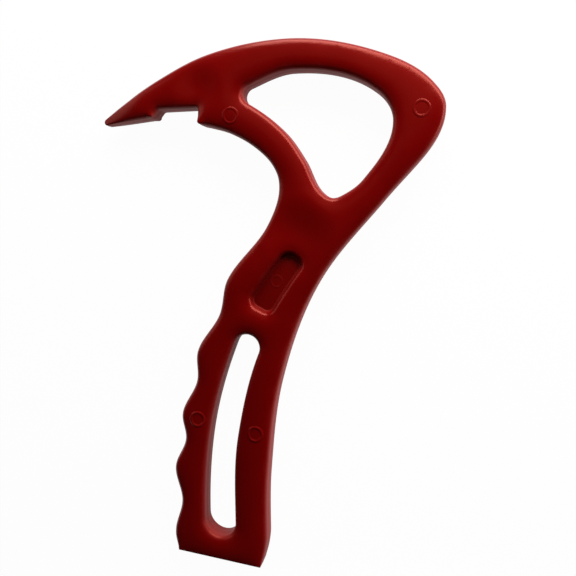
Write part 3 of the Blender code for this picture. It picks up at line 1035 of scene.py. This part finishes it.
@dataclass(frozen=True)
class MouldedRedPlastic:
    """Satin-gloss moulded plastic: a deep red with flow tones, a painted sheen on the side walls, fine
    grain, sink waves and handling wear.
    """

    deep_red: Colour = (0.120, 0.0002, 0.0003, 1.0)
    warm_red: Colour = (0.142, 0.0006, 0.0005, 1.0)
    worn_red: Colour = (0.160, 0.0060, 0.0055, 1.0)
    # Painted sheen: the side walls' paler, pinker red stands in for the light and white floor that they
    # reflect.
    painted_wall_sheen_red: Colour = (0.205, 0.0180, 0.0160, 1.0)
    specular_tint: Colour = (1.0, 0.24, 0.165, 1.0)
    refraction: float = 1.48
    wall_rough: float = 0.60
    scuff_rough: float = 0.42
    satin: Mottle = Mottle(120.0, 5.0, (0.30, 0.70), (0.21, 0.27))
    flow_tones: Mottle = Mottle(38.0, 3.0, (0.32, 0.68))
    wear_patches: Mottle = Mottle(160.0, 4.0, (0.42, 0.68), (0.0, 0.55))
    scuff_lines: Mottle = Mottle(1.0, 2.0, (0.66, 0.76))
    scuff_patches: Mottle = Mottle(55.0, 2.0, (0.56, 0.74))
    scuff_scale: Triple = (60.0, 1900.0, 60.0)
    scuff_turn: float = 28.0
    scuff_depth: float = 0.000006
    sink_waves: Mottle = Mottle(42.0, 1.0)
    wave_depth: float = 0.00012
    grain: Mottle = Mottle(1500.0, 3.0)
    grain_depth: float = 0.000005

    def material(self) -> Material:
        """Build the plastic as a node material.

        Returns:
            The material, which reads Object coordinates and the moulding's attributes.
        """
        material = bpy.data.materials.new(MATERIAL_SLOT)
        material.use_nodes = True
        bench = NodeBench(material.node_tree)
        place = bench.add("TexCoord", {}).outputs["Object"]
        scuffs = self.scuffs(bench, place)
        bench.wire(bench.tree.nodes["Principled BSDF"], {
            "IOR": self.refraction,
            "Specular Tint": self.specular_tint,
            "Base Color": self.colour(bench, place),
            "Roughness": self.roughness(bench, place, scuffs),
            "Normal": self.relief(bench, place, scuffs),
        })
        return material

    def scuffs(self, bench: NodeBench, place: NodeSocket) -> NodeSocket:
        """Scratch thin scuff lines, in patches, a little across the handle.

        Args:
            bench: The material's nodes.
            place: Object coordinates.

        Returns:
            One on the lines and zero beside them.
        """
        turn = (0.0, 0.0, radians(self.scuff_turn))
        across = bench.add("Mapping", {"Vector": place, "Rotation": turn, "Scale": self.scuff_scale})
        lines = bench.mottle(across.outputs["Vector"], self.scuff_lines)
        return bench.combine(Arithmetic.PRODUCT, lines, bench.mottle(place, self.scuff_patches))

    def colour(self, bench: NodeBench, place: NodeSocket) -> NodeSocket:
        """Blend the reds.

        Args:
            bench: The material's nodes.
            place: Object coordinates.

        Returns:
            The red, with the slow tones of the melt's flow, paler on worn edges, and with a painted sheen
            on the walls: a paler, pinker red that stands in for the light and white floor that they
            reflect.
        """
        patches = bench.mottle(place, self.wear_patches)
        wear = bench.combine(Arithmetic.PRODUCT, bench.attribute(WEAR), patches)
        return bench.layered(Blend.COLOUR, self.deep_red, (
            (bench.mottle(place, self.flow_tones), self.warm_red),
            # Painted sheen on the side walls, in place of the light and white floor that they reflect.
            (bench.attribute(WALL_SHEEN), self.painted_wall_sheen_red),
            (wear, self.worn_red),
        ))

    def roughness(self, bench: NodeBench, place: NodeSocket, scuffs: NodeSocket) -> NodeSocket:
        """Return the satin gloss, uneven from the mould, and duller on walls and scuffs."""
        layers = ((bench.attribute(MATT), self.wall_rough), (scuffs, self.scuff_rough))
        return bench.layered(Blend.NUMBER, bench.mottle(place, self.satin), layers)

    def relief(self, bench: NodeBench, place: NodeSocket, scuffs: NodeSocket) -> NodeSocket:
        """Roughen the surface.

        Args:
            bench: The material's nodes.
            place: Object coordinates.
            scuffs: Where the scuffs are.

        Returns:
            The normal, with slow sink waves, the fine grain of the mould, and scuffs cut in.
        """
        layers = (
            (bench.noise(place, self.sink_waves), self.wave_depth, False),
            (bench.noise(place, self.grain), self.grain_depth, False),
            (scuffs, self.scuff_depth, True),
        )
        below = {}
        for height, depth, inward in layers:
            sockets = {"Strength": 1.0, "Distance": depth, "Height": height}
            bump = bench.add("Bump", sockets | below, invert=inward)
            below = {"Normal": bump.outputs["Normal"]}
        return below["Normal"]


def put_in_scene(name: str, data: ID) -> Object:
    """Link a mesh, lamp or camera to the scene.

    Args:
        name: Name of the new object.
        data: What it holds.

    Returns:
        The object, at the origin.
    """
    item = bpy.data.objects.new(name, data)
    bpy.context.scene.collection.objects.link(item)
    return item


def mesh_piece(name: str, bm: BMesh) -> Object:
    """Turn a bmesh into a piece of the scene.

    Args:
        name: Name of the piece.
        bm: Its shape, which is freed.

    Returns:
        The piece, at the origin.
    """
    mesh = bpy.data.meshes.new(name)
    bm.to_mesh(mesh)
    bm.free()
    return put_in_scene(name, mesh)


@dataclass
class Moulding:
    """The whole tool as one moulding: plate, window, slot, pocket and pin marks in a single closed skin."""

    name: str = "moulded_grip"
    handle: Handle = field(default_factory=Handle)
    edge: PlateEdge = field(default_factory=PlateEdge)
    finish: MouldedRedPlastic = field(default_factory=MouldedRedPlastic)
    sharp_angle: float = 38.0
    floor_pin_radius: float = 0.00215
    floor_bead_height: float = 0.00007
    handle_bead_height: float = 0.00022
    least_depth: float = 0.000001
    most_room: float = 1.0
    high_above: float = 1.0
    sinks: tuple[Sink, ...] = (
        Sink((0.0125, 0.0305), 0.0150, 0.0016),
        Sink((-0.0255, 0.0855), 0.0110, 0.0010),
    )

    def __post_init__(self) -> None:
        """Set up the parts that hang on the handle, the fitted outlines and the middle of the plan."""
        self.head = Head(self.handle)
        self.pocket = Pocket(self.handle, self.edge)
        self.fit_loops()
        across = [station.point.x for station in self.loops[0]]
        up = [station.point.y for station in self.loops[0]]
        self.middle = Vector((min(across) + max(across), min(up) + max(up))) / 2.0
        self.beak_end = min(across)

    def fit_loops(self) -> None:
        """Sample the outlines of the plate and its pocket, and fit the plate's rounding to its room."""
        outlines = (self.head.outline(), self.head.window(), self.handle.slot(), self.pocket.outline())
        *loops, self.lip = [outline.stations() for outline in outlines]
        points = np.array([station.point for loop in (*loops, self.lip) for station in loop])
        self.loops = [
            [self.edge.fitted(station, self.room(station, points)) for station in loop] for loop in loops
        ]

    def room(self, station: Station, points: np.ndarray) -> float:
        """Measure the material beside an edge.

        Args:
            station: Place on the edge.
            points: All the points of the edges.

        Returns:
            Radius of the largest circle in the material that touches the edge there.
        """
        away = points - np.array(station.point)
        depth = away @ np.array(station.inward.normalized())
        inside = depth > self.least_depth
        radii = (away[inside] ** 2).sum(axis=1) / (2.0 * depth[inside])
        return float(np.min(radii, initial=self.most_room))

    def thinning(self, spot: Vector) -> float:
        """Thin the plate near the beak tip.

        Args:
            spot: Point of the plan.

        Returns:
            The share of the thickness that is left there.
        """
        share = min(max((spot.x - self.beak_end) / self.head.tip_taper, 0.0), 1.0)
        least = self.head.tip_thickness / self.edge.thickness
        return least + (1.0 - least) * share * (1.5 - 0.5 * share**2)

    def height(self, spot: Vector, rise: float, face: Face) -> float:
        """Return the height of a point of the plate, thinned towards the parting line near the beak tip."""
        return self.edge.thickness / 2.0 + face.value * rise * self.thinning(spot)

    def plate_rings(self, stations: list[Station]) -> list[Ring]:
        """Raise an outline through the plate.

        Args:
            stations: The sampled outline.

        Returns:
            The rings from the back face to the front face.
        """
        halves = [self.edge.half(station) for station in stations]
        rows = range(len(halves[0]))
        rings = []
        for face, row in [(Face.BACK, row) for row in rows[::-1]] + [(Face.FRONT, row) for row in rows]:
            points = []
            for station, half in zip(stations, halves):
                spot = station.at(half[row].inset)
                points.append(raised(spot, self.height(spot, half[row].height, face)))
            rings.append(Ring(points, halves[0][row].skin))
        return rings

    def fill_face(self, bm: BMesh, edges: Loop, face: Face) -> None:
        """Fill one face of the plate between its edges, as a cushion.

        Args:
            bm: Mesh to build in.
            edges: Edges of all the loops round the face.
            face: Which face it is.
        """
        verts = list(dict.fromkeys(vert for edge in edges for vert in edge.verts))
        number = {vert: place for place, vert in enumerate(verts)}
        chains = np.array([(number[edge.verts[0]], number[edge.verts[1]]) for edge in edges])
        rim = np.array([vert.co.xy for vert in verts])
        cushion = self.edge.cushion
        points = [Vector(point) for point in np.vstack((rim, cushion.inner_points(rim, chains)))]
        filled = delaunay_2d_cdt(points, chains.tolist(), [], INSIDE_ONLY, self.least_depth)
        spots, _, triangles, origins, _, _ = filled
        flat = np.array(spots)
        triangles = np.array(triangles)
        triangles = triangles[cushion.inside(flat[triangles].mean(axis=1), rim, chains)]
        fixed = np.array([bool(origin) and origin[0] < len(rim) for origin in origins])
        fall = cushion.fall(flat, triangles, fixed)
        for place in np.unique(triangles):
            spot = spots[place]
            if fixed[place]:
                spots[place] = verts[origins[place][0]]
            else:
                rise = self.edge.thickness / 2.0 - cushion.drop * fall[place]
                spots[place] = bm.verts.new(raised(spot, self.height(spot + self.middle, rise, face)))
        for triangle in triangles:
            bm.faces.new([spots[corner] for corner in triangle])

    @staticmethod
    def mark_skin(bm: BMesh, verts: Iterable[BMVert], skin: dict[str, float]) -> None:
        """Write the skin's attributes on some vertices.

        Args:
            bm: Mesh that they are in.
            verts: The vertices.
            skin: Value of each attribute.
        """
        for name, share in skin.items():
            layer = bm.verts.layers.float[name]
            for vert in verts:
                vert[layer] = share

    def raise_rings(self, bm: BMesh, rings: list[Ring]) -> tuple[Loop, Loop]:
        """Extrude a closed loop of edges through rings of points.

        Args:
            bm: Mesh to build in.
            rings: The rings, in plan.

        Returns:
            The edges of the first and of the last ring.
        """
        order = bm.verts.layers.int[ORDER]
        shift = self.middle.to_3d()
        verts = [bm.verts.new(point - shift) for point in rings[0].points]
        for place, vert in enumerate(verts):
            vert[order] = place
        self.mark_skin(bm, verts, rings[0].skin)
        first = [bm.edges.new((verts[place - 1], vert)) for place, vert in enumerate(verts)]
        last = first
        for ring in rings[1:]:
            grown = bmesh.ops.extrude_edge_only(bm, edges=last)["geom"]
            fresh = {item for item in grown if isinstance(item, BMVert)}
            last = [item for item in grown if isinstance(item, BMEdge) and fresh.issuperset(item.verts)]
            for vert in fresh:
                vert.co = ring.points[vert[order]] - shift
            self.mark_skin(bm, fresh, ring.skin)
        return first, last

    def sink_pocket(self, bm: BMesh) -> tuple[Loop, Loop]:
        """Sink the pocket's wall below the front face.

        Args:
            bm: Mesh to build in.

        Returns:
            The edges of its mouth and of its floor.
        """
        rings = []
        for row in self.pocket.section():
            points = [raised(station.at(row.inset), row.height) for station in self.lip]
            rings.append(Ring(points, row.skin))
        return self.raise_rings(bm, rings)

    def shrink(self, bm: BMesh) -> None:
        """Let the plastic sink over the thick parts: most at the front face and not at all at the back one.

        Args:
            bm: Mesh to shape.
        """
        for vert in bm.verts:
            fall = sum(sink.fall(vert.co.xy) for sink in self.sinks)
            vert.co.z -= fall * vert.co.z / self.edge.thickness

    def lay_pin_mark(self, bm: BMesh, skin: BVHTree, mark: PinMark) -> None:
        """Lay the bead of a pin mark on the skin, as a closed ring that follows it.

        Args:
            bm: Mesh to build in.
            skin: The finished skin.
            mark: The pin mark.
        """
        rings = []
        for row in mark.section():
            points = []
            for segment in range(mark.segments):
                turn = 2.0 * pi * segment / mark.segments
                spot = mark.place + Vector((cos(turn), sin(turn))) * row.inset
                surface = skin.ray_cast(raised(spot - self.middle, self.high_above), DOWN)[0].z
                points.append(raised(spot, surface + row.height))
            rings.append(Ring(points, row.skin))
        outer, inner = self.raise_rings(bm, rings)
        bmesh.ops.bridge_loops(bm, edges=outer + inner)

    def pin_marks(self) -> list[PinMark]:
        """Set out the pin marks.

        Returns:
            Those of the front face and of the pocket's floor.
        """
        marks = [PinMark(place, bead_height=self.handle_bead_height) for place in self.handle.pin_places()]
        marks += [PinMark(place) for place in self.head.pin_places()]
        marks.append(PinMark(
            self.pocket.pin_place(),
            self.floor_pin_radius,
            bead_height=self.floor_bead_height,
            matt=self.pocket.matt,
        ))
        return marks

    def build(self) -> Object:
        """Build the moulding as one closed mesh.

        Returns:
            The new object, linked to the scene, at the origin.
        """
        bm = bmesh.new()
        bm.verts.layers.int.new(ORDER)
        for name in (WEAR, WALL_SHEEN, MATT):
            bm.verts.layers.float.new(name)
        backs = []
        fronts = []
        for stations in self.loops:
            back, front = self.raise_rings(bm, self.plate_rings(stations))
            backs += back
            fronts += front
        mouth, floor = self.sink_pocket(bm)
        self.fill_face(bm, backs, Face.BACK)
        self.fill_face(bm, fronts + mouth, Face.FRONT)
        bmesh.ops.triangle_fill(bm, edges=floor, use_beauty=True)
        self.shrink(bm)
        skin = BVHTree.FromBMesh(bm)
        for mark in self.pin_marks():
            self.lay_pin_mark(bm, skin, mark)
        bmesh.ops.recalc_face_normals(bm, faces=bm.faces)
        for item in bm.faces:
            item.smooth = True
        open_edges = sum(not edge.is_manifold for edge in bm.edges)
        LOG.info("%s: %d faces, %d open edges", self.name, len(bm.faces), open_edges)
        piece = mesh_piece(self.name, bm)
        piece.data.attributes.remove(piece.data.attributes[ORDER])
        piece.data.set_sharp_from_angle(angle=radians(self.sharp_angle))
        return piece

    def dress(self, piece: Object) -> None:
        """Give the moulding its plastic, and let it stand for the CAD node.

        Args:
            piece: The moulding's object.
        """
        piece.data.materials.append(self.finish.material())
        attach(piece, "root")
        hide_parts(CAD_NODE)


@dataclass(frozen=True)
class StudioFloor:
    """White floor that shows as white to the camera and in the gloss, with the tool's faint shadow."""

    name: str = "studio_floor"
    half_size: float = 1.5
    tiles: int = 4
    drop: float = 0.0001
    colour: Colour = (0.86, 0.86, 0.86, 1.0)
    veil: float = 0.97

    def material(self) -> Material:
        """Veil a matt white in plain white.

        Returns:
            The material, whose veil only camera, gloss and transmission rays see.
        """
        material = bpy.data.materials.new("studio_white")
        material.use_nodes = True
        bench = NodeBench(material.node_tree)
        bench.tree.nodes.clear()
        matt = bench.add("BsdfDiffuse", {"Color": self.colour})
        glow = bench.add("Emission", {"Color": WHITE})
        rays = bench.add("LightPath", {}).outputs
        seen = rays["Is Camera Ray"]
        for kind in ("Is Glossy Ray", "Is Transmission Ray"):
            seen = bench.combine(Arithmetic.GREATER, seen, rays[kind])
        veil = bench.combine(Arithmetic.PRODUCT, seen, self.veil)
        mixed = bench.add("MixShader", {"Fac": veil, 1: matt.outputs["BSDF"], 2: glow.outputs["Emission"]})
        bench.add("OutputMaterial", {"Surface": mixed.outputs["Shader"]})
        return material

    def build(self) -> None:
        """Lay the floor under the tool."""
        bm = bmesh.new()
        bmesh.ops.create_grid(bm, x_segments=self.tiles, y_segments=self.tiles, size=self.half_size)
        bmesh.ops.translate(bm, vec=DOWN * self.drop, verts=bm.verts)
        floor = mesh_piece(self.name, bm)
        floor.data.materials.append(self.material())


@dataclass(frozen=True)
class SoftBox:
    """One soft lamp that looks at the middle of the tool."""

    name: str
    place: Triple
    width: float
    height: float
    power: float

    def build(self) -> None:
        """Hang the lamp."""
        light = bpy.data.lights.new(self.name, "AREA")
        light.shape = "RECTANGLE"
        light.size = self.width
        light.size_y = self.height
        light.energy = self.power
        lamp = put_in_scene(self.name, light)
        lamp.location = self.place
        lamp.rotation_euler = (-Vector(self.place)).to_track_quat("-Z", "Y").to_euler()


@dataclass(frozen=True)
class Viewpoint:
    """The photographer's camera, above the tool and a little to the right of it."""

    name: str = "viewpoint"
    lens: float = 38.89
    sensor: float = 36.0
    aim: Triple = (0.00848, 0.00997, 0.010)
    distance: float = 0.23559
    tilt: float = 13.09
    azimuth: float = 23.72
    near: float = 0.01

    def build(self) -> None:
        """Set up the camera as the scene's own."""
        data = bpy.data.cameras.new(self.name)
        data.lens = self.lens
        data.sensor_width = self.sensor
        data.clip_start = self.near
        camera = put_in_scene(self.name, data)
        bearing = radians(self.azimuth)
        lean = Matrix.Rotation(radians(self.tilt), 4, Vector((-sin(bearing), cos(bearing), 0.0)))
        back = Matrix.Translation((0.0, 0.0, self.distance))
        camera.matrix_world = Matrix.Translation(self.aim) @ lean @ back
        bpy.context.scene.camera = camera


@dataclass
class Studio:
    """Floor, lamps, room light and camera."""

    floor: StudioFloor = field(default_factory=StudioFloor)
    viewpoint: Viewpoint = field(default_factory=Viewpoint)
    lamps: tuple[SoftBox, ...] = (
        SoftBox("key_panel", (0.13, 0.36, 0.16), 0.56, 0.22, 3.9),
        SoftBox("back_panel", (0.03, 0.32, 0.62), 0.40, 0.34, 0.16),
        SoftBox("right_panel", (0.60, 0.08, 0.10), 0.50, 0.18, 2.0),
        SoftBox("left_panel", (-0.60, 0.30, 0.30), 0.50, 0.40, 0.80),
    )
    room_strength: float = 0.03

    def build(self) -> None:
        """Set up everything around the tool."""
        scene = bpy.context.scene
        scene.view_settings.view_transform = "Standard"
        world = bpy.data.worlds.new("room")
        world.use_nodes = True
        bench = NodeBench(world.node_tree)
        bench.wire(bench.tree.nodes["Background"], {"Color": WHITE, "Strength": self.room_strength})
        scene.world = world
        self.viewpoint.build()
        for lamp in self.lamps:
            lamp.build()
        self.floor.build()


def main() -> None:
    """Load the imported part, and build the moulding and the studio."""
    logging.basicConfig(level=logging.INFO, format="%(name)s: %(message)s")
    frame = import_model()
    LOG.info("packed part with nodes %s", sorted(frame["nodes"]))
    Studio().build()
    moulding = Moulding()
    piece = moulding.build()
    moulding.dress(piece)
    LOG.info("built %s", piece.name)


if __name__ == "__main__":
    main()
